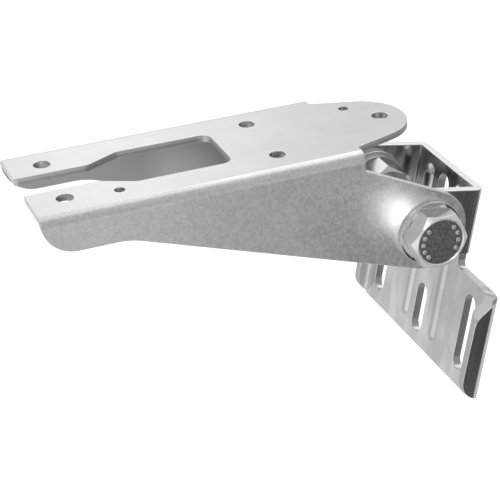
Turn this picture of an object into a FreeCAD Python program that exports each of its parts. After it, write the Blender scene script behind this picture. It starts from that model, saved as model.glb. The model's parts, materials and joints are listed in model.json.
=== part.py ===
import FreeCAD, Part
import math
import os
from types import SimpleNamespace

import PartDesign
import Sketcher
from FreeCAD import Placement, Rotation, Vector

# A hinged stainless bracket for a boat's bow. A slotted base plate bolts to the hull and
# carries two upright ears. A forked channel arm straddles the ears and swings about one
# stub bolt on each side.
#
# Frame: +X forwards, along the arm; +Y to port; +Z up. The origin is on the hull face of
# the base plate, half way between its two middle slots.

# ---------------------------------------------------------------------------
# Driving dimensions, in millimetres and degrees
# ---------------------------------------------------------------------------

SIZES = {
    # sheet metal
    "gauge": 4.0,
    "base_gauge": 5.0,
    "bend_inside": 2.0,
    "edge_break": 0.4,
    # pivot, measured from the origin
    "pivot_x": 35.0,
    "pivot_z": 35.5,
    "arm_dip": 10.5,
    # arm: a channel, in a frame whose origin is the pivot axis
    "arm_width": 83.0,
    "arm_top_z": 54.5,
    "fork_end_x": 214.3,
    "fork_gap": 21.0,
    "flare_front_x": 174.5,
    "flare_back_x": 156.5,
    "well_width": 39.0,
    "well_back_x": 103.5,
    "well_corner": 6.0,
    "fork_hole_x": 196.0,
    "plate_hole_y": 22.0,
    "fork_hole_bore": 9.0,
    "rear_hole_x": 79.7,
    "rear_hole_bore": 8.5,
    "nose_hole_x": 9.4,
    "lanyard_bore": 5.5,
    "lanyard_port_x": 168.0,
    "lanyard_port_y": 25.3,
    "lanyard_stbd_x": 23.2,
    "lanyard_stbd_y": 17.9,
    "nose_tip_x": -4.6,
    "nose_radius": 25.5,
    "nose_root_y": 32.3,
    "side_back_x": 37.5,
    "side_back_z": 43.8,
    "side_front_z": 33.5,
    "side_knee_x": 169.3,
    "side_knee_radius": 40.0,
    "side_front_radius": 18.5,
    "lobe_radius": 23.25,
    # base bracket
    "ear_width": 72.8,
    "ear_top_z": 56.7,
    "ear_foot_z": 17.1,
    "ear_bend_inside": 1.0,
    "neck_corner": 4.0,
    "foot_width": 141.2,
    "foot_corner": 2.0,
    "shoulder_z": 7.2,
    "shoulder_corner": 4.0,
    "shoulder_start": 48.0,
    "shoulder_end": 58.1,
    "foot_bottom_z": -57.2,
    "flange_depth": 11.8,
    "flange_top_z": -7.5,
    "flange_corner": 14.0,
    "slot_width": 11.4,
    "middle_slot_length": 31.0,
    "middle_slot_z": 35.0,
    "outer_slot_length": 46.6,
    "outer_slot_y": 51.2,
    "outer_slot_z": -24.8,
    "rib_y": 16.8,
    "rib_half": 5.6,
    "rib_rise": 2.8,
    "rib_foot_radius": 1.2,
    "rib_top_z": 45.0,
    "rib_bottom_z": -42.5,
    # M20 fasteners
    "bolt_radius": 10.0,
    "bolt_length": 40.0,
    "thread_length": 26.0,
    "thread_pitch": 2.5,
    "thread_depth": 1.3,
    "head_flats": 30.0,
    "head_height": 12.5,
    "head_rim": 14.2,
    "head_chamfer": 2.8,
    "head_dish_radius": 13.8,
    "head_dish_depth": 0.7,
    "mark_ring": 10.6,
    "mark_radius": 1.1,
    "mark_height": 0.5,
    "nut_height": 16.0,
    "nut_rim": 14.25,
    "nut_chamfer": 1.8,
    "washer_radius": 18.5,
    "washer_height": 3.0,
    "spring_washer_radius": 16.8,
    "spring_washer_height": 4.0,
    "spring_washer_gap": 2.5,
    "thrust_washer_radius": 18.0,
    "thrust_washer_height": 1.0,
    "pin_clearance": 0.05,
    "loose_clearance": 0.4,
    "side_clearance": 0.1,
}

TINY = 1e-9
PORT, STARBOARD = 1, -1
SIDE_NAMES = {PORT: "port", STARBOARD: "starboard"}
THREAD_MOUTH = 0.9  # width of a thread groove, as a share of the pitch
WASHER_RIM_ROUND = 0.12  # rounding of a washer's rim, as a share of its height
HEAD_TURN = {PORT: 6, STARBOARD: 25}  # how far each hexagon is turned about the pivot
NUT_TURN = {PORT: 40, STARBOARD: 23}
MARK_ANGLES = (-42, -19, 4, 27, 50, 154, 180, 204, 228)  # raised dots on a bolt head


class Size:
    """A length with the sheet expression that gives it, so one formula serves both."""

    def __init__(self, value, text):
        self.value = value
        self.text = text

    def __add__(self, other):
        other = as_size(other)
        return Size(self.value + other.value, f"({self.text} + {other.text})")

    def __sub__(self, other):
        other = as_size(other)
        return Size(self.value - other.value, f"({self.text} - {other.text})")

    def __mul__(self, other):
        other = as_size(other)
        return Size(self.value * other.value, f"({self.text} * {other.text})")

    def __truediv__(self, other):
        other = as_size(other)
        return Size(self.value / other.value, f"({self.text} / {other.text})")

    def __neg__(self):
        return self * -1

    __radd__ = __add__
    __rmul__ = __mul__

    def __rsub__(self, other):
        return as_size(other) - self


def as_size(number):
    """A plain number as a Size."""
    return number if isinstance(number, Size) else Size(float(number), f"({float(number)})")


def root(size):
    """The square root of a Size."""
    return Size(math.sqrt(size.value), f"sqrt({size.text})")


doc = FreeCAD.newDocument("bow_bracket")
sheet = doc.addObject("Spreadsheet::Sheet", "Sizes")
for row, (alias, number) in enumerate(SIZES.items(), start=1):
    sheet.set(f"A{row}", alias)
    sheet.set(f"B{row}", str(number))
    sheet.setAlias(f"B{row}", alias)
doc.recompute()
dim = SimpleNamespace(**{alias: Size(number, f"Sizes.{alias}") for alias, number in SIZES.items()})


# ---------------------------------------------------------------------------
# Sketch and feature helpers
# ---------------------------------------------------------------------------

class About:
    """An arc about a stated centre, tangent to the outline's lines on both sides.

    A hollow arc bulges into the outline instead of out of it."""

    def __init__(self, x, y, radius, hollow=False):
        self.x, self.y, self.radius = as_size(x), as_size(y), as_size(radius)
        self.leftward = not hollow
        self.pull = -self.radius.value if hollow else self.radius.value


def bind(thing, prop, size):
    """Ties a property to the sheet."""
    thing.setExpression(prop, as_size(size).text)


def new_body(name):
    """An empty PartDesign body; its label is the node's name."""
    body = doc.addObject("PartDesign::Body", name)
    body.Label = name
    return body


def new_sketch(body, role, name, lift=None):
    """A sketch on one of the body's own origin planes, lifted along the plane's normal."""
    plane = next(item for item in body.Origin.OriginFeatures if item.Role == role)
    sketch = body.newObject("Sketcher::SketchObject", name)
    sketch.AttachmentSupport = [(plane, "")]
    sketch.MapMode = "FlatFace"
    if lift is not None:
        bind(sketch, "AttachmentOffset.Base.z", lift)
    return sketch


def pin_point(sketch, geometry, position, x, y):
    """Holds one point of the sketch at sheet-driven coordinates."""
    origin, origin_point, x_axis, y_axis = -1, 1, -1, -2
    for kind, zero_axis, size in (("DistanceX", y_axis, as_size(x)), ("DistanceY", x_axis, as_size(y))):
        if abs(size.value) < TINY:
            sketch.addConstraint(Sketcher.Constraint("PointOnObject", geometry, position, zero_axis))
            continue
        rule = Sketcher.Constraint(kind, origin, origin_point, geometry, position, size.value)
        number = sketch.addConstraint(rule)
        bind(sketch, f"Constraints[{number}]", size)


def circle(sketch, x, y, radius):
    """A full circle held at sheet-driven coordinates."""
    x, y, radius = as_size(x), as_size(y), as_size(radius)
    ring = sketch.addGeometry(Part.Circle(Vector(x.value, y.value, 0), Vector(0, 0, 1), radius.value))
    centre = 3
    pin_point(sketch, ring, centre, x, y)
    number = sketch.addConstraint(Sketcher.Constraint("Radius", ring, radius.value))
    bind(sketch, f"Constraints[{number}]", radius)


def tangent_line(start, start_radius, end, end_radius):
    """The line that leaves circle one and meets circle two, with their centres on its left.

    A corner is a circle of radius 0; a negative radius puts that centre on the right."""
    span = end - start
    lean = math.asin((end_radius - start_radius) / span.Length)
    along = Rotation(Vector(0, 0, 1), -math.degrees(lean)).multVec(span) / span.Length
    left = Vector(-along.y, along.x, 0)
    return start - left * start_radius, end - left * end_radius


def outline(sketch, nodes):
    """A closed outline, drawn counter-clockwise.

    Each node is a sharp corner (x, y), a rounded corner (x, y, radius) or an About arc.
    Corners, centres and radii are tied to the sheet."""
    count = len(nodes)
    places, pulls = [], []
    for node in nodes:
        x, y = (node.x, node.y) if isinstance(node, About) else (as_size(node[0]), as_size(node[1]))
        places.append((x, y, Vector(x.value, y.value, 0)))
        pulls.append(node.pull if isinstance(node, About) else 0.0)
    runs = []
    for index in range(count):
        after = (index + 1) % count
        runs.append(tangent_line(places[index][2], pulls[index], places[after][2], pulls[after]))

    # shorten the runs at rounded corners, and note the arc each node needs
    arcs = {}
    for index, node in enumerate(nodes):
        before, after = runs[index - 1], runs[index]
        if isinstance(node, About):
            arcs[index] = (places[index][2], node.radius, node.leftward)
        elif len(node) == 3:
            radius = as_size(node[2])
            arrive = (before[1] - before[0]).normalize()
            leave = (after[1] - after[0]).normalize()
            turn = arrive.cross(leave).z
            trim = radius.value * math.tan(arrive.getAngle(leave) / 2)
            runs[index - 1] = (before[0], before[1] - arrive * trim)
            runs[index] = (after[0] + leave * trim, after[1])
            inward = Vector(-arrive.y, arrive.x, 0) * math.copysign(radius.value, turn)
            arcs[index] = (runs[index - 1][1] + inward, radius, turn > 0)

    lines = [sketch.addGeometry(Part.LineSegment(*run)) for run in runs]
    start_point, end_point, centre_point = 1, 2, 3
    for index, node in enumerate(nodes):
        x, y, place = places[index]
        line_in, line_out = lines[index - 1], lines[index]
        if index not in arcs:
            meeting = Sketcher.Constraint("Coincident", line_in, end_point, line_out, start_point)
            sketch.addConstraint(meeting)
            pin_point(sketch, line_out, start_point, x, y)
            continue
        centre, radius, leftward = arcs[index]
        reach_in, reach_out = runs[index - 1][1] - centre, runs[index][0] - centre
        turned = (reach_in, reach_out) if leftward else (reach_out, reach_in)
        first, last = (math.atan2(reach.y, reach.x) for reach in turned)
        ring = Part.Circle(centre, Vector(0, 0, 1), radius.value)
        arc = sketch.addGeometry(Part.ArcOfCircle(ring, first, last))
        enter, leave = (start_point, end_point) if leftward else (end_point, start_point)
        sketch.addConstraint(Sketcher.Constraint("Tangent", line_in, end_point, arc, enter))
        sketch.addConstraint(Sketcher.Constraint("Tangent", arc, leave, line_out, start_point))
        number = sketch.addConstraint(Sketcher.Constraint("Radius", arc, radius.value))
        bind(sketch, f"Constraints[{number}]", radius)
        if isinstance(node, About):
            pin_point(sketch, arc, centre_point, x, y)
            continue
        corner = sketch.addGeometry(Part.Point(place), True)
        sketch.addConstraint(Sketcher.Constraint("PointOnObject", corner, start_point, line_in))
        sketch.addConstraint(Sketcher.Constraint("PointOnObject", corner, start_point, line_out))
        pin_point(sketch, corner, start_point, x, y)


def box_outline(sketch, x_low, y_low, x_high, y_high):
    """A plain rectangle."""
    outline(sketch, [(x_low, y_low), (x_high, y_low), (x_high, y_high), (x_low, y_high)])


def upright_slot(sketch, x, y, width, length):
    """A round-ended slot, upright in the sketch."""
    reach = (length - width) / 2
    outline(sketch, [About(x, y - reach, width / 2), About(x, y + reach, width / 2)])


def pad(body, sketch, name, length, both_ways=False, back=False):
    """Grows the body by a sketch."""
    feature = body.newObject("PartDesign::Pad", name)
    feature.Profile = sketch
    feature.Midplane = both_ways
    feature.Reversed = back
    bind(feature, "Length", length)
    doc.recompute()
    return feature


def cut_check(body, feature, before):
    """Stops the script if a cutting feature took nothing away."""
    doc.recompute()
    if body.Shape.Volume > before - 1e-3:
        raise RuntimeError(f"{feature.Name} cuts nothing")


def pocket(body, sketch, name, length=None, both_ways=False, back=False):
    """Cuts the body by a sketch: right through, or to a length."""
    before = body.Shape.Volume
    feature = body.newObject("PartDesign::Pocket", name)
    feature.Profile = sketch
    feature.Midplane = both_ways
    feature.Reversed = back
    if length is None:
        feature.Type = "ThroughAll"
    else:
        bind(feature, "Length", length)
    cut_check(body, feature, before)
    return feature


def turned(body, sketch, name, axis, cutting=False):
    """A full turn of a sketch about one of its own axes, added or cut away."""
    before = body.Shape.Volume if cutting else 0
    feature = body.newObject("PartDesign::Groove" if cutting else "PartDesign::Revolution", name)
    feature.Profile = sketch
    feature.ReferenceAxis = (sketch, [axis])
    feature.Angle = 360
    if cutting:
        cut_check(body, feature, before)
    doc.recompute()
    return feature


def soften(body, name, radius, wanted):
    """Rounds the edges of the body's present solid that wanted(shape, edge) picks."""
    base, shape = body.Tip, body.Tip.Shape
    names = [f"Edge{number}" for number, edge in enumerate(shape.Edges, start=1) if wanted(shape, edge)]
    if not names:
        raise RuntimeError(f"{name} finds no edge to round")
    feature = body.newObject("PartDesign::Fillet", name)
    feature.Base = (base, names)
    bind(feature, "Radius", radius)
    doc.recompute()
    return feature


def is_sharp(shape, edge):
    """Whether two faces of the shape meet at that edge with a real corner between them."""
    faces = shape.ancestorsOfType(edge, Part.Face)
    if len(faces) < 2:
        return False
    spot = edge.valueAt((edge.FirstParameter + edge.LastParameter) / 2)
    normals = [face.normalAt(*face.Surface.parameter(spot)) for face in faces]
    return math.radians(20) < normals[0].getAngle(normals[1]) < math.radians(160)


# ---------------------------------------------------------------------------
# Arm
# ---------------------------------------------------------------------------

def make_arm():
    """A forked channel: top plate with nose, and two tapering sides with pivot lobes."""
    body = new_body("arm")
    half = dim.arm_width / 2
    inner = half - dim.gauge
    under = dim.arm_top_z - dim.gauge
    bend_outside = dim.bend_inside + dim.gauge
    margin = 10
    above = 1

    section = new_sketch(body, "YZ_Plane", "arm_section", lift=-dim.lobe_radius)
    floor = -dim.lobe_radius
    outline(section, [
        (half, floor), (half, dim.arm_top_z, bend_outside), (-half, dim.arm_top_z, bend_outside),
        (-half, floor), (-inner, floor), (-inner, under, dim.bend_inside),
        (inner, under, dim.bend_inside), (inner, floor),
    ])
    pad(body, section, "arm_channel", dim.fork_end_x + dim.lobe_radius)

    # side view: everything outside this outline is trimmed away
    sides = new_sketch(body, "XZ_Plane", "arm_side_trim")
    box_outline(sides, -dim.lobe_radius - margin, -dim.lobe_radius - margin,
                dim.fork_end_x + margin, dim.arm_top_z + 2 * margin)
    below_bend = dim.arm_top_z - bend_outside - above
    outline(sides, [
        About(0, 0, dim.lobe_radius),
        (dim.side_knee_x, dim.side_front_z, dim.side_knee_radius),
        (dim.fork_end_x, dim.side_front_z, dim.side_front_radius),
        (dim.fork_end_x, dim.arm_top_z + margin),
        (dim.nose_tip_x - margin, dim.arm_top_z + margin),
        (dim.nose_tip_x - margin, below_bend),
        (dim.side_back_x, below_bend),
        (dim.side_back_x, dim.side_back_z),
    ])
    pocket(body, sides, "arm_side_cut", both_ways=True)

    # plan view: the rounded nose behind the sides
    nose = new_sketch(body, "XY_Plane", "arm_nose_trim", lift=dim.arm_top_z + above)
    outline(nose, [
        (dim.side_back_x, -half - margin), (dim.side_back_x, -dim.nose_root_y),
        About(dim.nose_tip_x + dim.nose_radius, 0, dim.nose_radius, hollow=True),
        (dim.side_back_x, dim.nose_root_y), (dim.side_back_x, half + margin),
        (-dim.lobe_radius - margin, half + margin), (-dim.lobe_radius - margin, -half - margin),
    ])
    pocket(body, nose, "arm_nose_cut", dim.arm_top_z + above - dim.side_back_z - dim.bend_inside)

    fork = new_sketch(body, "XY_Plane", "arm_fork_outline", lift=dim.arm_top_z + above)
    gap, well = dim.fork_gap / 2, dim.well_width / 2
    outline(fork, [
        (dim.fork_end_x + margin, gap), (dim.flare_front_x, gap, dim.well_corner),
        (dim.flare_back_x, well, dim.well_corner), (dim.well_back_x, well, dim.well_corner),
        (dim.well_back_x, -well, dim.well_corner), (dim.flare_back_x, -well, dim.well_corner),
        (dim.flare_front_x, -gap, dim.well_corner), (dim.fork_end_x + margin, -gap),
    ])
    pocket(body, fork, "arm_fork_cut", 2 * dim.gauge)

    holes = new_sketch(body, "XY_Plane", "arm_hole_centres", lift=dim.arm_top_z + above)
    for side in (PORT, STARBOARD):
        circle(holes, dim.fork_hole_x, side * dim.plate_hole_y, dim.fork_hole_bore / 2)
        circle(holes, dim.rear_hole_x, side * dim.plate_hole_y, dim.rear_hole_bore / 2)
    circle(holes, dim.nose_hole_x, 0, dim.fork_hole_bore / 2)
    circle(holes, dim.lanyard_port_x, dim.lanyard_port_y, dim.lanyard_bore / 2)
    circle(holes, dim.lanyard_stbd_x, -dim.lanyard_stbd_y, dim.lanyard_bore / 2)
    pocket(body, holes, "arm_holes", 2 * dim.gauge)

    soften(body, "arm_edge_break", dim.edge_break, is_sharp)

    bores = new_sketch(body, "XZ_Plane", "arm_pivot_centres")
    circle(bores, 0, 0, dim.bolt_radius + dim.pin_clearance)
    pocket(body, bores, "arm_pivot_bores", both_ways=True)

    bind(body, "Placement.Base.x", dim.pivot_x)
    bind(body, "Placement.Base.z", dim.pivot_z)
    body.Placement.Rotation = Rotation(Vector(0, 1, 0), SIZES["arm_dip"])
    bind(body, "Placement.Rotation.Angle", dim.arm_dip)
    return body


# ---------------------------------------------------------------------------
# Base bracket
# ---------------------------------------------------------------------------

def bent_section(sketch, half, gauge, inside, outside, front):
    """A back wall with both ends bent forwards: a flat-bottomed U, open to +X."""
    outline(sketch, [
        (0, half, outside), (0, -half, outside), (front, -half), (front, -half + gauge),
        (gauge, -half + gauge, inside), (gauge, half - gauge, inside),
        (front, half - gauge), (front, half),
    ])


def add_ear(body, side, half):
    """One ear: a flat tab in front of the bend, rounded about the pivot."""
    lift = -half if side == PORT else half - dim.base_gauge
    ear = new_sketch(body, "XZ_Plane", f"ear_outline_{SIDE_NAMES[side]}", lift=lift)
    ear_round = (dim.ear_top_z - dim.ear_foot_z) / 2 - dim.edge_break
    start = dim.ear_bend_inside + dim.base_gauge
    tip = dim.pivot_x + ear_round
    outline(ear, [
        (start, dim.ear_foot_z), (tip, dim.ear_foot_z, ear_round),
        (tip, dim.ear_top_z, ear_round), (start, dim.ear_top_z),
    ])
    pad(body, ear, f"ear_{SIDE_NAMES[side]}", dim.base_gauge)


def trim_shoulder(body, side):
    """Rounds the foot's shoulder down into its flange, looking across the bend at 45 degrees.

    The sketch's X runs diagonally outboard and forwards, and its Y is up."""
    name, reach = SIDE_NAMES[side], 15
    trim = new_sketch(body, "XZ_Plane", f"shoulder_trim_{name}")
    trim.AttachmentOffset = Placement(Vector(), Rotation(Vector(0, 1, 0), 45 * side))
    past = (dim.foot_width / 2 + dim.flange_depth) / root(as_size(2)) + reach
    start, end = dim.shoulder_start, dim.shoulder_end
    outline(trim, [
        (start, dim.shoulder_z, dim.shoulder_corner), (end, dim.flange_top_z, dim.flange_corner),
        (end, dim.flange_top_z - reach), (past, dim.flange_top_z - reach),
        (past, dim.shoulder_z + reach), (start - reach, dim.shoulder_z + reach),
        (start - reach, dim.shoulder_z),
    ])
    pocket(body, trim, f"shoulder_cut_{name}", both_ways=True)


def trim_flange_foot(body, side):
    """Rounds the bottom of a foot flange, seen from the side."""
    name, reach = SIDE_NAMES[side], 12
    front = dim.flange_depth
    bottom = new_sketch(body, "XZ_Plane", f"flange_bottom_{name}", lift=-side * (dim.foot_width / 2 + 1))
    outline(bottom, [
        (-1, dim.foot_bottom_z), (-1, dim.foot_bottom_z - reach), (front + reach, dim.foot_bottom_z - reach),
        (front + reach, dim.foot_bottom_z + reach), (front, dim.foot_bottom_z + reach),
        (front, dim.foot_bottom_z, front),
    ])
    depth = dim.base_gauge + 2
    pocket(body, bottom, f"flange_bottom_cut_{name}", depth, back=side == PORT)


def primitive(body, kind, name, x, y, z, **sizes):
    """A PartDesign primitive with its place and sizes tied to the sheet."""
    feature = body.newObject(f"PartDesign::{kind}", name)
    for axis, size in zip("xyz", (x, y, z)):
        bind(feature, f"Placement.Base.{axis}", size)
    for prop, size in sizes.items():
        bind(feature, prop, size)
    doc.recompute()
    return feature


def add_ribs(body):
    """Two beads pressed forwards out of the back wall: domed ends, and a hollow behind."""
    bulge = (dim.rib_half * dim.rib_half + dim.rib_rise * dim.rib_rise) / (2 * dim.rib_rise)
    centre = dim.base_gauge + dim.rib_rise - bulge
    run = dim.rib_top_z - dim.rib_bottom_z
    for sign, radius in (("Additive", bulge), ("Subtractive", bulge - dim.base_gauge)):
        for side in (PORT, STARBOARD):
            y = side * dim.rib_y
            name = f"rib_{sign.lower()}_{SIDE_NAMES[side]}"
            primitive(body, f"{sign}Cylinder", f"{name}_bar", centre, y, dim.rib_bottom_z,
                      Radius=radius, Height=run)
            for end, z in (("top", dim.rib_top_z), ("bottom", dim.rib_bottom_z)):
                primitive(body, f"{sign}Sphere", f"{name}_{end}", centre, y, z, Radius=radius)
        if sign == "Additive":
            behind = new_sketch(body, "YZ_Plane", "hull_face")
            box_outline(behind, -dim.foot_width, -dim.foot_width, dim.foot_width, dim.foot_width)
            pocket(body, behind, "hull_face_cut", bulge * 2)

    def at_rib_foot(_shape, edge):
        spots = [edge.valueAt(edge.FirstParameter), edge.valueAt(edge.LastParameter)]
        middle = dim.rib_y.value
        on_face = all(abs(spot.x - dim.base_gauge.value) < 0.01 for spot in spots)
        return on_face and all(abs(abs(spot.y) - middle) < dim.rib_half.value + 0.01 for spot in spots)

    soften(body, "rib_feet", dim.rib_foot_radius, at_rib_foot)


def make_base():
    """One pressing: back wall, two ears above, and a wide slotted foot with side flanges."""
    body = new_body("base_bracket")
    ear_half, foot_half = dim.ear_width / 2, dim.foot_width / 2

    foot = new_sketch(body, "XY_Plane", "foot_section", lift=dim.foot_bottom_z)
    bent_section(foot, foot_half, dim.base_gauge, dim.bend_inside, dim.foot_corner, dim.flange_depth)
    pad(body, foot, "foot_channel", dim.shoulder_z - dim.foot_bottom_z)

    for side in (PORT, STARBOARD):
        trim_shoulder(body, side)
        trim_flange_foot(body, side)

    neck = new_sketch(body, "YZ_Plane", "neck_outline")
    neck_half = ear_half - dim.base_gauge - dim.ear_bend_inside
    spread, overlap = 3 * dim.neck_corner, 4
    outline(neck, [
        (-neck_half - spread, dim.shoulder_z - overlap), (neck_half + spread, dim.shoulder_z - overlap),
        (neck_half + spread, dim.shoulder_z), (neck_half, dim.shoulder_z, dim.neck_corner),
        (neck_half, dim.ear_foot_z + overlap), (-neck_half, dim.ear_foot_z + overlap),
        (-neck_half, dim.shoulder_z, dim.neck_corner), (-neck_half - spread, dim.shoulder_z),
    ])
    pad(body, neck, "neck", dim.base_gauge)

    upper = new_sketch(body, "XY_Plane", "ear_section", lift=dim.ear_foot_z)
    ear_bend = dim.ear_bend_inside + dim.base_gauge
    bent_section(upper, ear_half, dim.base_gauge, dim.ear_bend_inside, ear_bend, ear_bend + 1)
    pad(body, upper, "ear_channel", dim.ear_top_z - dim.ear_foot_z)
    for side in (PORT, STARBOARD):
        add_ear(body, side, ear_half)

    add_ribs(body)

    slots = new_sketch(body, "YZ_Plane", "slot_outlines", lift=-1)
    upright_slot(slots, 0, dim.middle_slot_z, dim.slot_width, dim.middle_slot_length)
    upright_slot(slots, 0, -dim.middle_slot_z, dim.slot_width, dim.middle_slot_length)
    for side in (PORT, STARBOARD):
        upright_slot(slots, side * dim.outer_slot_y, dim.outer_slot_z, dim.slot_width, dim.outer_slot_length)
    pocket(body, slots, "slots", dim.base_gauge + 2, back=True)

    bores = new_sketch(body, "XZ_Plane", "ear_bore_centre")
    circle(bores, dim.pivot_x, dim.pivot_z, dim.bolt_radius + dim.loose_clearance)
    pocket(body, bores, "ear_bores", both_ways=True)

    def on_ear_or_slot(shape, edge):
        across = abs(edge.CenterOfMass.y)
        low, high = edge.BoundBox.ZMin, edge.BoundBox.ZMax
        on_ear = high > dim.ear_foot_z.value + 0.1
        near_slot = min(across, abs(across - dim.outer_slot_y.value)) < dim.slot_width.value
        in_slot = near_slot and high < 0 and low > dim.foot_bottom_z.value + dim.base_gauge.value
        return (on_ear or in_slot) and is_sharp(shape, edge)

    soften(body, "base_edge_break", dim.edge_break, on_ear_or_slot)
    return body


# ---------------------------------------------------------------------------
# Pivot fasteners, each in a frame whose Z is its own axis, pointing outboard
# ---------------------------------------------------------------------------

def hexagon(sketch, flats):
    """A regular hexagon with one corner on the sketch's X axis."""
    corner, half = flats / root(as_size(3)), flats / 2
    outline(sketch, [(corner, 0), (corner / 2, half), (-corner / 2, half),
                     (-corner, 0), (-corner / 2, -half), (corner / 2, -half)])


def chamfer_corners(body, name, flats, rim, drop, face_z, facing):
    """Turns a hexagon's corners down by the drop, to a cone that meets one face at the rim."""
    overrun = 1.5
    past = rim + (flats / root(as_size(3)) - rim) * overrun
    clear = face_z + facing
    cut = new_sketch(body, "XZ_Plane", f"{name}_profile")
    corners = [(rim, face_z), (past, face_z - facing * overrun * drop), (past, clear), (rim, clear)]
    outline(cut, corners if facing > 0 else corners[::-1])
    turned(body, cut, name, "V_Axis", cutting=True)


def set_on_pivot(body, side, distance, turn):
    """Stands a fastener on the pivot axis, that far outboard of the middle."""
    outboard = Rotation(Vector(1, 0, 0), -90 * side)
    body.Placement = Placement(Vector(), outboard * Rotation(Vector(0, 0, 1), turn))
    bind(body, "Placement.Base.x", dim.pivot_x)
    bind(body, "Placement.Base.y", side * as_size(distance))
    bind(body, "Placement.Base.z", dim.pivot_z)
    return body


def make_bolt(side, distance, turn):
    """A short hexagon bolt: dished head with plain raised marks, shank and thread."""
    body = new_body(f"bolt_{SIDE_NAMES[side]}")
    shank = new_sketch(body, "XY_Plane", "bolt_shank_circle")
    circle(shank, 0, 0, dim.bolt_radius)
    pad(body, shank, "bolt_shank", dim.bolt_length, back=True)

    head = new_sketch(body, "XY_Plane", "bolt_head_hexagon")
    hexagon(head, dim.head_flats)
    pad(body, head, "bolt_head", dim.head_height)
    rim, drop = dim.head_rim, dim.head_chamfer
    chamfer_corners(body, "head_top_chamfer", dim.head_flats, rim, drop, dim.head_height, 1)
    chamfer_corners(body, "head_foot_chamfer", dim.head_flats, rim, drop, as_size(0), -1)

    dish = new_sketch(body, "XZ_Plane", "bolt_dish_profile")
    floor = dim.head_height - dim.head_dish_depth
    outline(dish, [(0, floor), (dim.head_dish_radius - dim.head_dish_depth, floor),
                   (dim.head_dish_radius, dim.head_height), (dim.head_dish_radius, dim.head_height + 1),
                   (0, dim.head_height + 1)])
    turned(body, dish, "bolt_dish", "V_Axis", cutting=True)

    sunk = 0.2
    marks = new_sketch(body, "XY_Plane", "bolt_marks_outline", lift=floor - sunk)
    for angle in MARK_ANGLES:
        across, along = math.cos(math.radians(angle)), math.sin(math.radians(angle))
        circle(marks, dim.mark_ring * across, dim.mark_ring * along, dim.mark_radius)
    pad(body, marks, "bolt_marks", sunk + dim.mark_height)

    tip = new_sketch(body, "XZ_Plane", "bolt_tip_profile")
    end = -dim.bolt_length
    bevel = dim.thread_depth
    outline(tip, [(dim.bolt_radius - bevel, end), (dim.bolt_radius - bevel, end - 1),
                  (dim.bolt_radius + 1, end - 1), (dim.bolt_radius + 1, end + bevel + 1)])
    turned(body, tip, "bolt_tip", "V_Axis", cutting=True)

    thread = new_sketch(body, "XZ_Plane", "bolt_thread_profile")
    first = end + bevel + dim.thread_pitch / 2
    half_mouth = dim.thread_pitch * THREAD_MOUTH / 2
    crest = dim.bolt_radius + 0.1
    outline(thread, [(dim.bolt_radius - dim.thread_depth, first), (crest, first - half_mouth),
                     (crest, first + half_mouth)])
    groove = turned(body, thread, "bolt_thread", "V_Axis", cutting=True)
    ridges = body.newObject("PartDesign::LinearPattern", "bolt_threads")
    ridges.Originals = [groove]
    ridges.Direction = (thread, ["V_Axis"])
    ridges.Occurrences = int(SIZES["thread_length"] / SIZES["thread_pitch"])
    bind(ridges, "Length", dim.thread_pitch * (ridges.Occurrences - 1))
    body.Tip = ridges
    doc.recompute()
    return set_on_pivot(body, side, distance, turn)


def make_washer(name, side, distance, radius, height, bore_clearance):
    """A plain round washer."""
    body = new_body(f"{name}_{SIDE_NAMES[side]}")
    rings = new_sketch(body, "XY_Plane", f"{name}_rings")
    circle(rings, 0, 0, radius)
    circle(rings, 0, 0, dim.bolt_radius + bore_clearance)
    pad(body, rings, f"{name}_disc", height)
    outer_length = 2 * math.pi * radius.value
    soften(body, f"{name}_rim", height * WASHER_RIM_ROUND,
           lambda _shape, edge: abs(edge.Length - outer_length) < 0.01)
    return set_on_pivot(body, side, distance, 0)


def make_spring_washer(side, distance, turn):
    """A split lock washer, clamped flat, with a slanting slit."""
    body = new_body(f"spring_washer_{SIDE_NAMES[side]}")
    rings = new_sketch(body, "XY_Plane", "spring_washer_rings")
    circle(rings, 0, 0, dim.spring_washer_radius)
    circle(rings, 0, 0, dim.bolt_radius + dim.loose_clearance)
    pad(body, rings, "spring_washer_ring", dim.spring_washer_height)
    slit = new_sketch(body, "YZ_Plane", "spring_washer_slit")
    lean, gap, over = dim.spring_washer_height / 2, dim.spring_washer_gap / 2, 1
    top = dim.spring_washer_height + over
    outline(slit, [(-lean - gap, -over), (-lean + gap, -over), (lean + gap, top), (lean - gap, top)])
    pocket(body, slit, "spring_washer_cut", dim.spring_washer_radius + 1, back=True)
    return set_on_pivot(body, side, distance, turn)


def make_nut(side, distance, turn):
    """A hexagon nut, chamfered on both faces."""
    body = new_body(f"nut_{SIDE_NAMES[side]}")
    profile = new_sketch(body, "XY_Plane", "nut_hexagon")
    hexagon(profile, dim.head_flats)
    circle(profile, 0, 0, dim.bolt_radius + dim.loose_clearance)
    pad(body, profile, "nut_block", dim.nut_height)
    rim, drop = dim.nut_rim, dim.nut_chamfer
    chamfer_corners(body, "nut_outer_chamfer", dim.head_flats, rim, drop, dim.nut_height, 1)
    chamfer_corners(body, "nut_inner_chamfer", dim.head_flats, rim, drop, as_size(0), -1)
    return set_on_pivot(body, side, distance, turn)


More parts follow.
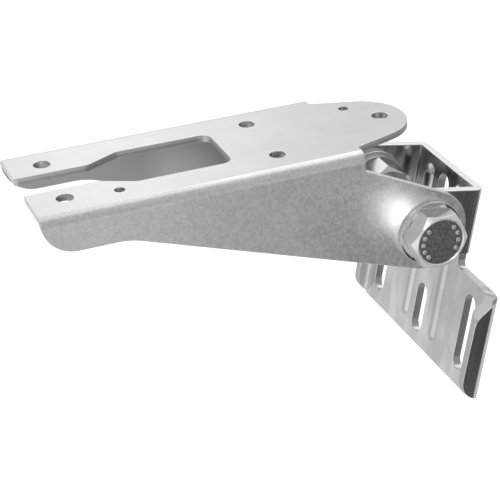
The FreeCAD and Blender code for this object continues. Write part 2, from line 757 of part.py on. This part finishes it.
def make_pivot(side, head_turn, nut_turn):
    """Every fastener of one side, stacked outwards and inwards from the ear."""
    ear_outside = dim.ear_width / 2
    outer_washer = dim.arm_width / 2 + dim.side_clearance
    inner_washer = ear_outside - dim.base_gauge - dim.washer_height
    spring_washer = inner_washer - dim.spring_washer_height
    return [
        make_bolt(side, outer_washer + dim.washer_height, head_turn),
        make_washer("outer_washer", side, outer_washer, dim.washer_radius, dim.washer_height,
                    dim.loose_clearance),
        make_washer("thrust_washer", side, ear_outside, dim.thrust_washer_radius,
                    dim.thrust_washer_height, dim.loose_clearance),
        make_washer("inner_washer", side, inner_washer, dim.washer_radius, dim.washer_height,
                    dim.loose_clearance),
        make_spring_washer(side, spring_washer, nut_turn),
        make_nut(side, spring_washer - dim.nut_height, nut_turn),
    ]


# ---------------------------------------------------------------------------
# Build, check and write
# ---------------------------------------------------------------------------

def check_model(parts):
    """Stops the script if any object failed or any sub-part is not one or more sound solids."""
    for item in doc.Objects:
        if "Invalid" in item.State or "Error" in item.State:
            raise RuntimeError(f"{item.Name} failed: {item.State}")
    for part in parts:
        if part.Shape.isNull() or not part.Shape.isValid() or not part.Shape.Solids:
            raise RuntimeError(f"{part.Label} has no sound solid")


parts = [make_arm(), make_base()]
for side in (PORT, STARBOARD):
    parts += make_pivot(side, HEAD_TURN[side], NUT_TURN[side])
doc.recompute()
check_model(parts)
os.makedirs("parts", exist_ok=True)
for part in parts:
    part.Shape.exportStep(f"parts/{part.Label}.step")
    print(f"{part.Label}: {len(part.Shape.Solids)} solid, {part.Shape.Volume / 1000:.2f} cm3")
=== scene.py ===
import json
import math

import bpy
from mathutils import Euler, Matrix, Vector


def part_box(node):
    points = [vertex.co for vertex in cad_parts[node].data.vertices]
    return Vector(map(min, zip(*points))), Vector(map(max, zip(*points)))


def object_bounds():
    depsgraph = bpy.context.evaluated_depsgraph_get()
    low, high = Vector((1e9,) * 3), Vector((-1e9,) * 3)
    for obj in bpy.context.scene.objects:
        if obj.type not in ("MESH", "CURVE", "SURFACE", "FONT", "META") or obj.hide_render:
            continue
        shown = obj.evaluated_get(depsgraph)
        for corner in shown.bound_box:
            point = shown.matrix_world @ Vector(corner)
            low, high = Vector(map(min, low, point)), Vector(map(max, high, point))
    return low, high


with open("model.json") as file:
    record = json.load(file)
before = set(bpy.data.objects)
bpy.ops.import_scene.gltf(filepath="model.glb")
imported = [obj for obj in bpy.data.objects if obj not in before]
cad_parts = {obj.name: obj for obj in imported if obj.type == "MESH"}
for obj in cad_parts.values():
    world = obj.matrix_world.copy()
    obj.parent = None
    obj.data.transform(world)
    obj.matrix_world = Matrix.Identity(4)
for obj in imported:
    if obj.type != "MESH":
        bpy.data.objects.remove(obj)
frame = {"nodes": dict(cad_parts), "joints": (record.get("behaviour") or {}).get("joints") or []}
cad_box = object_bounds()

# A hinged stainless bow bracket. Every solid is a CAD node; this script gives them their
# metals, the studio, the lights and the camera. Lengths are in metres.

MM = 0.001
SIDES = ("port", "starboard")
PIVOT = Vector(frame["joints"][0]["pos_m"])
EDGE_ROUND = 0.4 * MM

# The arm, in a frame that slopes with its top plate and turns about the pivot.
ARM_DIP = math.radians(10.5)  # how far the top plate slopes down towards the fork
ARM_INSIDE = 37.5 * MM  # from the middle to the inner face of a side
ARM_TOP = PIVOT.z + 54.5 * MM
SHEAR_LINE = PIVOT.z + 52.6 * MM  # part way through the top sheet
FORK_END = PIVOT.x + 214.3 * MM
WELL_MIDDLE = PIVOT.x + 113 * MM

# The base bracket.
BASE_SHEET = 5 * MM
EAR_INSIDE = 31.4 * MM  # from the middle to the inner face of an ear
EAR_TOP = 56.7 * MM
SHOULDER = 7.2 * MM  # the top of the foot
FOOT_HALF = 70.6 * MM
BEND_ROUND = 2 * MM  # outside radius of the bends at the foot's ends

# The bolts, whose heads are alike.
DISH_RADIUS = 13.5 * MM  # just inside the dish's rim
HEAD_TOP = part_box("bolt_port")[1].y


# ---------------------------------------------------------------------------
# Node helpers
# ---------------------------------------------------------------------------

def is_socket(value):
    """True for another node's output, False for a plain value."""
    return isinstance(value, bpy.types.NodeSocket)


def feed(tree, socket, value):
    """Links a socket to another node's output, or gives it a plain value."""
    if is_socket(value):
        tree.links.new(value, socket)
    else:
        socket.default_value = value


def add_node(tree, kind, inputs=None, **settings):
    """A node with its settings, and with inputs given as numbers or as links."""
    node = tree.nodes.new(kind)
    for key, value in settings.items():
        setattr(node, key, value)
    for key, value in (inputs or {}).items():
        feed(tree, node.inputs[key], value)
    return node


def grey(level, warmth=0.01):
    """A grey with a little less blue in it."""
    return (level, level, level - warmth)


def cube(side):
    """The same length along X, Y and Z."""
    return (side, side, side)


class Surface:
    """One procedural material, with short ways to add the nodes that the metals share."""

    def __init__(self, name, colour, roughness, metallic=1.0):
        self.material = bpy.data.materials.new(name)
        self.material.use_nodes = True
        self.tree = self.material.node_tree
        self.shader = self.tree.nodes["Principled BSDF"]
        self.place = self.add("ShaderNodeTexCoord")
        self.set(Base_Color=(*colour, 1), Roughness=roughness, Metallic=metallic)

    def add(self, kind, inputs=None, **settings):
        """A node of this material."""
        return add_node(self.tree, kind, inputs, **settings)

    def set(self, **inputs):
        """Feeds the shader. A name's underscores stand for spaces."""
        for key, value in inputs.items():
            feed(self.tree, self.shader.inputs[key.replace("_", " ")], value)
        return self

    def math(self, operation, *values):
        """One arithmetic step."""
        return self.add("ShaderNodeMath", dict(enumerate(values)), operation=operation).outputs[0]

    def size(self, value):
        """A value without its sign."""
        return self.math("ABSOLUTE", value)

    def both(self, first, *others):
        """Where every mask holds. A plain number weakens the result."""
        for other in others:
            first = self.math("MULTIPLY", first, other)
        return first

    def either(self, first, *others):
        """Where any mask holds."""
        for other in others:
            first = self.math("MAXIMUM", first, other)
        return first

    def spread(self, value, low, high, to_low=0.0, to_high=1.0):
        """Maps low..high to to_low..to_high, with smooth ends."""
        inputs = {"Value": value, "From Min": low, "From Max": high, "To Min": to_low, "To Max": to_high}
        return self.add("ShaderNodeMapRange", inputs, interpolation_type="SMOOTHSTEP").outputs[0]

    def split(self, vector):
        """The X, Y and Z of a vector."""
        return self.add("ShaderNodeSeparateXYZ", {"Vector": vector}).outputs

    def facing(self):
        """The X, Y and Z of the object's own normal."""
        return self.split(self.place.outputs["Normal"])

    def turned(self, vector, turn, centre=(0, 0, 0)):
        """A vector turned about the Y axis, so that X and Z follow a sloping sheet."""
        inputs = {"Vector": vector, "Center": centre, "Axis": (0, 1, 0), "Angle": -turn}
        return self.add("ShaderNodeVectorRotate", inputs, rotation_type="AXIS_ANGLE").outputs[0]

    def local(self, turn=0.0):
        """The object's own coordinates, turned about the pivot."""
        return self.turned(self.place.outputs["Object"], turn, PIVOT)

    def noise(self, where, size, detail=3.0, rough=0.55):
        """Noise whose features measure size, in metres along X, Y and Z."""
        scale = tuple(1 / length for length in size)
        placed = self.add("ShaderNodeMapping", {"Vector": where, "Scale": scale}).outputs[0]
        inputs = {"Vector": placed, "Scale": 1.0, "Detail": detail, "Roughness": rough}
        return self.add("ShaderNodeTexNoise", inputs).outputs[0]

    def mix(self, share, first, second):
        """Blends two colours."""
        first, second = (end if is_socket(end) else (*end, 1) for end in (first, second))
        return self.add("ShaderNodeMix", {0: share, 6: first, 7: second}, data_type="RGBA").outputs[2]

    def bump(self, height, depth, strength=1.0, normal=None):
        """Raises the surface by height times depth, in metres."""
        inputs = {"Height": height, "Distance": depth, "Strength": strength}
        if normal is not None:
            inputs["Normal"] = normal
        return self.add("ShaderNodeBump", inputs).outputs[0]

    def vector(self, operation, first, second=None):
        """The outputs of one step of vector arithmetic."""
        inputs = {0: first} if second is None else {0: first, 1: second}
        return self.add("ShaderNodeVectorMath", inputs, operation=operation).outputs

    def reach(self, where):
        """Distance from the pivot's axis."""
        away = self.vector("SUBTRACT", where, tuple(PIVOT))[0]
        return self.vector("LENGTH", self.vector("MULTIPLY", away, (1, 0, 1))[0])["Value"]

    def soft_edges(self, radius=EDGE_ROUND):
        """Normals that roll over the edges, as on sheet that has been deburred."""
        return self.add("ShaderNodeBevel", {"Radius": radius}, samples=6).outputs[0]

    def edge_glint(self, colour, bright, radius=0.7 * MM):
        """Paints a thin highlight along every edge."""
        flat = self.add("ShaderNodeNewGeometry").outputs["Normal"]
        alike = self.vector("DOT_PRODUCT", self.soft_edges(radius), flat)["Value"]
        return self.mix(self.spread(alike, 0.985, 0.90), colour, bright)


# ---------------------------------------------------------------------------
# Materials
# ---------------------------------------------------------------------------

def arm_cut_mask(steel, at):
    """1 on the sheared edges of the arm's sheet, 0 on its two rolled faces."""
    facing = steel.split(steel.turned(steel.place.outputs["Normal"], ARM_DIP))
    facing_x, facing_y, facing_z = (steel.size(part) for part in facing)
    in_side = steel.spread(steel.size(at[1]), ARM_INSIDE - 0.5 * MM, ARM_INSIDE + 0.1 * MM)
    in_top = steel.math("SUBTRACT", 1.0, in_side)
    below_bend = steel.spread(at[2], ARM_TOP - 10 * MM, ARM_TOP - 20 * MM)
    end_cut = steel.spread(facing_x, 0.75, 0.95)
    side_cut = steel.both(in_side, steel.spread(facing_z, 0.85, 0.97), below_bend)
    top_cut = steel.both(in_top, steel.spread(facing_y, 0.85, 0.97), steel.spread(facing_z, 0.5, 0.2))
    return steel.either(end_cut, side_cut, top_cut)


def arm_steel():
    """Satin sheet: mottled sides, a smoother top, painted shade on the inner faces and towards the fork end,
    a painted highlight on the fork's end faces, and two-tone sheared edges.
    """
    steel = Surface("satin_sheet_steel", grey(0.66), 0.34)
    where = steel.local(ARM_DIP)
    at = steel.split(where)
    grain = steel.noise(where, cube(1.7 * MM), detail=2.0, rough=0.7)
    rolling = steel.noise(where, (50 * MM, 1.4 * MM, 50 * MM))
    clouds = steel.noise(where, (22 * MM, 16 * MM, 16 * MM), detail=2.0)
    scored = steel.noise(where, (0.6 * MM, 0.6 * MM, 8 * MM), detail=2.0)
    cut = arm_cut_mask(steel, at)
    on_side = steel.spread(steel.size(steel.facing()[1]), 0.15, 0.6)
    inside = steel.spread(steel.size(at[1]), ARM_INSIDE + 0.9 * MM, ARM_INSIDE + 0.3 * MM)

    mottle = steel.math("MULTIPLY_ADD", on_side, 0.85, 0.15)
    mottle = steel.math("MULTIPLY", mottle, steel.spread(grain, 0.25, 0.75, -0.5, 0.5))
    light = steel.math("ADD", mottle, 0.5)
    light = steel.math("MULTIPLY_ADD", steel.spread(clouds, 0.3, 0.7, -0.5, 0.5), 0.2, light)
    face = steel.mix(light, grey(0.59, 0.005), grey(0.74))
    # Painted shade: the face darkens towards the fork end.
    painted_shade_near_fork_end = steel.spread(at[0], FORK_END - 36 * MM, FORK_END - 4 * MM, 0.0, 0.14)
    face = steel.mix(painted_shade_near_fork_end, face, grey(0.25, 0.0))
    # Painted shade on the inner faces of the sides, lighter near the well.
    off_middle = steel.size(steel.math("SUBTRACT", at[0], WELL_MIDDLE))
    painted_light_near_well = steel.spread(off_middle, 26 * MM, 4 * MM)
    painted_shade_inner_face = steel.mix(painted_light_near_well, grey(0.42, 0.005), grey(0.60, 0.005))
    face = steel.mix(steel.both(inside, on_side), face, painted_shade_inner_face)

    sheared = steel.mix(scored, grey(0.42, 0.005), grey(0.60))
    burnished = steel.spread(at[2], SHEAR_LINE - 0.2 * MM, SHEAR_LINE + 0.2 * MM)
    edge = steel.mix(burnished, sheared, grey(0.72))
    # A painted highlight on the end faces at the fork.
    edge = steel.mix(steel.spread(at[0], FORK_END - 3 * MM, FORK_END - 1 * MM), edge, grey(0.92))
    colour = steel.edge_glint(steel.mix(cut, face, edge), grey(0.95))

    rough = steel.math("MULTIPLY_ADD", mottle, 0.06, 0.22)
    rough = steel.math("MULTIPLY_ADD", on_side, 0.10, rough)
    rough = steel.math("MULTIPLY_ADD", steel.spread(rolling, 0.3, 0.7, -0.5, 0.5), 0.04, rough)
    rough = steel.math("MULTIPLY_ADD", cut, 0.12, rough)
    strength = steel.math("MULTIPLY_ADD", on_side, 0.25, 0.05)
    relief = steel.bump(grain, 0.015 * MM, strength, steel.soft_edges())
    return steel.set(Base_Color=colour, Roughness=rough, Normal=relief).material


def base_cut_masks(steel, at, outboard):
    """The base's sheared edges: in its slots, facing up or down, on its flanges, and on their tops."""
    facing_x, facing_y, facing_z = (steel.size(part) for part in steel.facing())
    edge_on = steel.spread(facing_x, 0.35, 0.15)
    in_plate = steel.spread(at[0], BASE_SHEET + 0.3 * MM, BASE_SHEET - 0.1 * MM)
    inside_bends = steel.spread(outboard, FOOT_HALF - 8.1 * MM, FOOT_HALF - 8.6 * MM)
    slot_cut = steel.both(edge_on, in_plate, inside_bends)

    level = steel.spread(facing_z, 0.8, 0.95)

    in_flange = steel.spread(outboard, FOOT_HALF - BASE_SHEET - 0.2 * MM, FOOT_HALF - BASE_SHEET + 0.2 * MM)
    past_bend = steel.spread(at[0], 4.5 * MM, 6.0 * MM)
    flange_cut = steel.both(in_flange, steel.spread(facing_y, 0.6, 0.3), past_bend)

    past_slots = steel.spread(outboard, FOOT_HALF - 15 * MM, FOOT_HALF - 11 * MM)
    flange_top = steel.both(past_slots, steel.spread(steel.facing()[2], 0.25, 0.5))
    return slot_cut, level, flange_cut, flange_top


def base_steel():
    """Polished sheet with upright polishing lines, some duller areas, painted shade high on the plate and
    between the ears, a painted highlight on the foot's bends, and satin sheared edges.
    """
    steel = Surface("polished_sheet_steel", grey(0.72), 0.12)
    where = steel.local()
    at = steel.split(where)
    outboard = steel.size(at[1])
    lines = steel.noise(where, (0.7 * MM, 0.7 * MM, 45 * MM))
    bands = steel.noise(where, (13 * MM, 13 * MM, 34 * MM), detail=2.0)
    specks = steel.noise(where, cube(1.6 * MM), detail=4.0, rough=0.7)
    slot_cut, level, flange_cut, flange_top = base_cut_masks(steel, at, outboard)
    cut = steel.either(slot_cut, level, flange_cut, flange_top)

    tone = steel.math("MULTIPLY", steel.spread(bands, 0.3, 0.7), 0.74)
    tone = steel.math("MULTIPLY_ADD", steel.spread(lines, 0.3, 0.7), 0.12, tone)
    tone = steel.math("MULTIPLY_ADD", steel.spread(specks, 0.3, 0.7), 0.14, tone)
    face = steel.mix(tone, grey(0.60, 0.005), grey(0.88))

    # Painted shade high on the plate, towards port.
    painted_shade_high_up = steel.spread(at[2], -38 * MM, -14 * MM)
    painted_shade_to_port = steel.spread(at[1], 0.0, 25 * MM)
    face = steel.mix(steel.both(painted_shade_high_up, painted_shade_to_port, 0.5), face, grey(0.45, 0.005))

    # Painted shade between the ears, deepest towards starboard.
    painted_shade_between_ears = steel.spread(outboard, EAR_INSIDE + 1.1 * MM, EAR_INSIDE + 0.6 * MM)
    shade_above_foot = steel.spread(at[2], SHOULDER + 0.8 * MM, SHOULDER + 12.8 * MM)
    shade_to_starboard = steel.spread(at[1], -16 * MM, -26 * MM, 0.0, 0.5)
    face = steel.mix(steel.both(shade_above_foot, painted_shade_between_ears, shade_to_starboard), face, grey(0.30, 0.0))

    # A painted highlight on the outside of the bends at the foot's ends.
    behind_flange = steel.spread(at[0], BEND_ROUND + 1.4 * MM, BEND_ROUND + 0.2 * MM)
    outer_skin = steel.spread(outboard, FOOT_HALF - 2.2 * MM, FOOT_HALF - 1.6 * MM)
    on_foot = steel.spread(at[2], SHOULDER + 0.8 * MM, SHOULDER - 1.2 * MM)
    painted_highlight_bend = steel.both(behind_flange, outer_skin, on_foot)
    face = steel.mix(painted_highlight_bend, face, grey(0.97))

    face = steel.mix(slot_cut, face, grey(0.44, 0.005))
    near_top = steel.spread(at[2], EAR_TOP - 16.7 * MM, EAR_TOP - 6.7 * MM)
    rim = steel.mix(near_top, grey(0.58, 0.005), grey(0.84))
    face = steel.mix(level, face, rim)
    face = steel.mix(flange_cut, face, grey(0.62))
    face = steel.mix(flange_top, face, grey(0.46, 0.005))
    colour = steel.edge_glint(face, grey(0.95))

    rough = steel.spread(lines, 0.25, 0.75, 0.10, 0.2)
    rough = steel.math("MULTIPLY_ADD", cut, 0.2, rough)
    rough = steel.math("MULTIPLY_ADD", flange_cut, 0.15, rough)
    rough = steel.math("MULTIPLY_ADD", painted_highlight_bend, 0.5, rough)
    relief = steel.bump(lines, 0.004 * MM, 0.5, steel.soft_edges())
    return steel.set(Base_Color=colour, Roughness=rough, Normal=relief).material


def bolt_steel():
    """Satin forged heads with a darker smooth dish, and a painted highlight on the flats that face forwards
    and up.
    """
    steel = Surface("forged_bolt_steel", grey(0.70), 0.3)
    where = steel.local()
    pits = steel.noise(where, cube(0.9 * MM), detail=4.0, rough=0.7)
    tone = steel.spread(pits, 0.3, 0.7)

    outboard = steel.size(steel.split(where)[1])
    below_rim = steel.spread(outboard, HEAD_TOP - 0.3 * MM, HEAD_TOP - 0.55 * MM)
    near_top = steel.spread(outboard, HEAD_TOP - 3 * MM, HEAD_TOP - 2 * MM)
    inside_rim = steel.spread(steel.reach(where), DISH_RADIUS, DISH_RADIUS - 0.3 * MM)
    dish = steel.both(below_rim, inside_rim, near_top)

    facing = steel.facing()
    # Painted light on the hexagon's flats: a painted highlight on those that face forwards and up, the
    # others darker.
    flats = steel.spread(steel.size(facing[1]), 0.3, 0.1)
    painted_highlight_front_flat = steel.both(steel.spread(facing[0], 0.3, 0.7), steel.spread(facing[2], 0.0, 0.3))
    satin = steel.mix(tone, grey(0.80), grey(0.92))
    painted_light_flats = steel.mix(painted_highlight_front_flat, grey(0.54, 0.005), grey(0.98))
    satin = steel.mix(flats, satin, painted_light_flats)
    dark = steel.mix(tone, grey(0.58, 0.005), grey(0.74))
    colour = steel.mix(dish, steel.edge_glint(satin, grey(0.98), 0.5 * MM), dark)

    rough = steel.spread(pits, 0.3, 0.7, 0.26, 0.34)
    rough = steel.math("MULTIPLY_ADD", dish, -0.12, rough)
    rough = steel.math("MULTIPLY_ADD", flats, -0.14, rough)
    relief = steel.bump(pits, 0.012 * MM, 0.6, steel.soft_edges(0.3 * MM))
    return steel.set(Base_Color=colour, Roughness=rough, Normal=relief).material


def turned_steel(name, base, roughness, ring):
    """Faced in a lathe: fine rings about the pivot axis."""
    steel = Surface(name, base, roughness)
    where = steel.local()
    radial = steel.add("ShaderNodeCombineXYZ", {"X": steel.reach(where)}).outputs[0]
    rings = steel.noise(radial, cube(ring), detail=2.0)
    specks = steel.noise(where, cube(1.2 * MM), detail=4.0, rough=0.7)
    dull, bright = (tuple(share * part for part in base) for share in (0.92, 1.06))
    colour = steel.mix(steel.spread(specks, 0.3, 0.7), dull, bright)
    rough = steel.math("MULTIPLY_ADD", rings, 0.10, roughness - 0.05)
    relief = steel.bump(rings, 0.01 * MM, 0.6, steel.soft_edges(0.25 * MM))
    return steel.set(Base_Color=colour, Roughness=rough, Normal=relief).material


def thrust_plastic():
    """Cut nylon: matt, a little mottled."""
    nylon = Surface("thrust_nylon", (0.80, 0.79, 0.75), 0.5, metallic=0.0)
    where = nylon.local()
    cloud = nylon.noise(where, cube(2.5 * MM))
    grain = nylon.noise(where, cube(0.4 * MM))
    colour = nylon.mix(cloud, (0.76, 0.75, 0.70), (0.84, 0.83, 0.79))
    rough = nylon.spread(grain, 0.3, 0.7, 0.42, 0.58)
    relief = nylon.bump(grain, 0.01 * MM, 0.6)
    return nylon.set(Base_Color=colour, Roughness=rough, Normal=relief).material


def paint(node, made):
    """Gives a CAD node one material in every slot."""
    mesh = frame["nodes"][node].data
    if not mesh.materials:
        mesh.materials.append(made)
    for number in range(len(mesh.materials)):
        mesh.materials[number] = made


def dress():
    """Hands every CAD node its material."""
    paint("arm", arm_steel())
    paint("base_bracket", base_steel())
    fasteners = {
        "bolt": bolt_steel(),
        "outer_washer": turned_steel("polished_washer_steel", grey(0.72), 0.10, 0.35 * MM),
        "inner_washer": turned_steel("washer_steel", grey(0.70), 0.22, 0.35 * MM),
        "spring_washer": turned_steel("spring_washer_steel", grey(0.55, 0.005), 0.34, 0.6 * MM),
        "nut": turned_steel("nut_steel", grey(0.66), 0.2, 0.5 * MM),
        "thrust_washer": thrust_plastic(),
    }
    for side in SIDES:
        for name, made in fasteners.items():
            paint(f"{name}_{side}", made)


# ---------------------------------------------------------------------------
# Studio
# ---------------------------------------------------------------------------

CAMERA_PLACE = Vector((0.4690, 0.7322, 0.3702))
CAMERA_TURN = (65.724, -7.550, 157.951)  # degrees about X, Y and Z
CAMERA_LENS = 115.07
SENSOR = 36.0


def add_camera():
    """Looks down on the port side, from ahead of the hull."""
    data = bpy.data.cameras.new("camera")
    data.lens = CAMERA_LENS
    data.sensor_width = SENSOR
    data.clip_end = 50
    camera = bpy.data.objects.new("camera", data)
    camera.location = CAMERA_PLACE
    camera.rotation_euler = Euler([math.radians(angle) for angle in CAMERA_TURN])
    bpy.context.scene.collection.objects.link(camera)
    bpy.context.scene.camera = camera


FLOOR_REACH = 12.0
FLOOR_DROP = 0.14  # clear of the arm when it hangs straight down
FLOOR_GREY = (0.6, 0.6, 0.6, 1)
FLOOR_GLOW = 0.65


def add_floor():
    """A plain pale floor below the arm's swing, lit from within like a light table."""
    low = cad_box[0][2] - FLOOR_DROP
    mesh = bpy.data.meshes.new("floor")
    around = ((-1, -1), (1, -1), (1, 1), (-1, 1))
    mesh.from_pydata([(FLOOR_REACH * x, FLOOR_REACH * y, low) for x, y in around], [], [(0, 1, 2, 3)])
    floor = bpy.data.objects.new("floor", mesh)
    bpy.context.scene.collection.objects.link(floor)
    pale = bpy.data.materials.new("pale_floor")
    pale.use_nodes = True
    shader = pale.node_tree.nodes["Principled BSDF"]
    shader.inputs["Base Color"].default_value = FLOOR_GREY
    shader.inputs["Roughness"].default_value = 0.9
    shader.inputs["Specular IOR Level"].default_value = 0.0
    shader.inputs["Emission Color"].default_value = (1, 1, 1, 1)
    shader.inputs["Emission Strength"].default_value = FLOOR_GLOW
    mesh.materials.append(pale)
    floor.visible_glossy = False


GLOW = 0.74
GLOW_PATCHES = (  # direction, degrees to the full level, degrees to nothing, level
    ((-0.15, -0.85, 0.50), 30, 60, 1.10),  # behind, seen in the arm's top
    ((0.10, -0.89, 0.44), 16, 24, 1.62),  # behind the fork, with a fairly crisp side
    ((-0.46, -0.28, 0.84), 12, 27, 2.0),  # high, seen along the arm's port bend
    ((0.40, -0.82, -0.40), 20, 45, 0.90),  # behind and low, seen in the base plate
    ((0.75, 0.47, -0.39), 15, 30, 1.20),  # low in front, seen in the ribs' flanks
    ((-0.10, 0.88, -0.46), 12, 28, 1.12),  # low to port, seen in the arm's side near the fork
    ((-0.80, 0.40, -0.43), 13, 23, 0.12),  # a dark flag that carries on round the base's corner
    ((-0.515, 0.757, -0.400), 6, 13, 0.10),  # a dark flag, seen in the ears and the bolt's dish
)


def add_world():
    """The studio that the metals mirror: bright patches and dark flags on an even glow."""
    world = bpy.data.worlds.new("studio")
    bpy.context.scene.world = world
    world.use_nodes = True
    tree = world.node_tree
    tree.nodes.clear()
    direction = add_node(tree, "ShaderNodeTexCoord").outputs["Generated"]

    def patch(towards, inner, outer):
        """1 within inner degrees of a direction, 0 past outer degrees."""
        aim = tuple(Vector(towards).normalized())
        sides = {0: direction, 1: aim}
        near = add_node(tree, "ShaderNodeVectorMath", sides, operation="DOT_PRODUCT").outputs["Value"]
        far, full = math.cos(math.radians(outer)), math.cos(math.radians(inner))
        edges = {"Value": near, "From Min": far, "From Max": full}
        return add_node(tree, "ShaderNodeMapRange", edges, interpolation_type="SMOOTHSTEP").outputs[0]

    def blend(share, first, second):
        """Between two levels of light."""
        return add_node(tree, "ShaderNodeMix", {0: share, 2: first, 3: second}, data_type="FLOAT").outputs[0]

    bright = GLOW
    for towards, inner, outer, level in GLOW_PATCHES:
        bright = blend(patch(towards, inner, outer), bright, level)
    seen = add_node(tree, "ShaderNodeLightPath").outputs["Is Camera Ray"]
    glow = add_node(tree, "ShaderNodeBackground", {"Strength": blend(seen, bright, 1.0)})
    add_node(tree, "ShaderNodeOutputWorld", {"Surface": glow.outputs[0]})


def add_light(name, place, towards, width, watts):
    """One round area light, not seen by the camera."""
    data = bpy.data.lights.new(name, "AREA")
    data.shape = "DISK"
    data.size = width
    data.energy = watts
    light = bpy.data.objects.new(name, data)
    light.location = place
    light.rotation_euler = (Vector(towards) - Vector(place)).to_track_quat("-Z", "Y").to_euler()
    light.visible_camera = False
    bpy.context.scene.collection.objects.link(light)
    return light


SOFT_LIGHTS = (  # name, place, width, watts
    ("overhead", (0.1, -0.3, 1.5), 2.0, 4),
    ("front_fill", (0.9, 0.9, 0.9), 0.8, 2),
)
GLINT_PLACE = (0.0225, 0.0995, 0.0207)
GLINT_AIM = (0.0572, 0.0415, 0.048)  # on the arm's port side, ahead of the bolt
GLINT_WIDTH = 0.0115
GLINT_WATTS = 0.0024


def add_lights():
    """Two soft lights, and a small lamp that lights only the arm and casts no shadow."""
    middle = (Vector(cad_box[0]) + Vector(cad_box[1])) / 2
    for name, place, width, watts in SOFT_LIGHTS:
        add_light(name, place, middle, width, watts)
    glint = add_light("side_glint", GLINT_PLACE, GLINT_AIM, GLINT_WIDTH, GLINT_WATTS)
    glint.data.use_shadow = False
    glint.data.cycles.use_multiple_importance_sampling = False
    lit_sheet = bpy.data.collections.new("lit_sheet")
    lit_sheet.objects.link(frame["nodes"]["arm"])
    glint.light_linking.receiver_collection = lit_sheet


bpy.context.scene.view_settings.view_transform = "Standard"
add_camera()
add_world()
add_floor()
dress()
add_lights()
